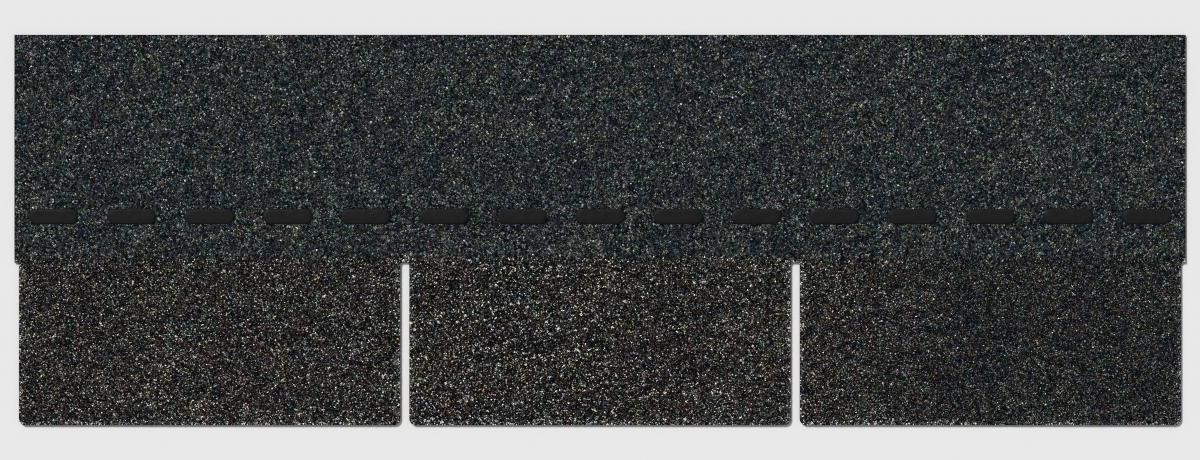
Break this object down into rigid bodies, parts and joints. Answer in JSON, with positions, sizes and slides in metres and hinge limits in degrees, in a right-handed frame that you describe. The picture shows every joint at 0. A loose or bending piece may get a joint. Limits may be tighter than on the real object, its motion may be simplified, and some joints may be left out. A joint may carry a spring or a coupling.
{
  "type": "three-tab asphalt strip shingle",
  "caption": "Asphalt roof shingle strip: a flat granule-faced sheet whose tabs are parted by narrow cutouts, with a line of adhesive dashes on its face and a release film on its back.",
  "frame": {"origin": "middle of the back, on the plane that the shingle lies on: half of the length and half of the depth", "axes": "+X along the course, parallel to the butt edge; +Y up the roof, from the tabs' butt edge to the headlap's top edge; +Z out of the granule face"},
  "size_m": [0.9144, 0.3048, 0.0038],
  "materials": {
    "granule_sheet": "rough crushed-stone granules of mixed charcoal, brown, grey and cream over black asphalt",
    "adhesive": "glossy black asphalt adhesive",
    "film": "smooth thin film over a dark sanded back"
  },
  "bodies": {
    "root": {"shingle": "granule_sheet", "self_seal_strip": "adhesive", "release_tape": "film"}
  },
  "joints": []
}
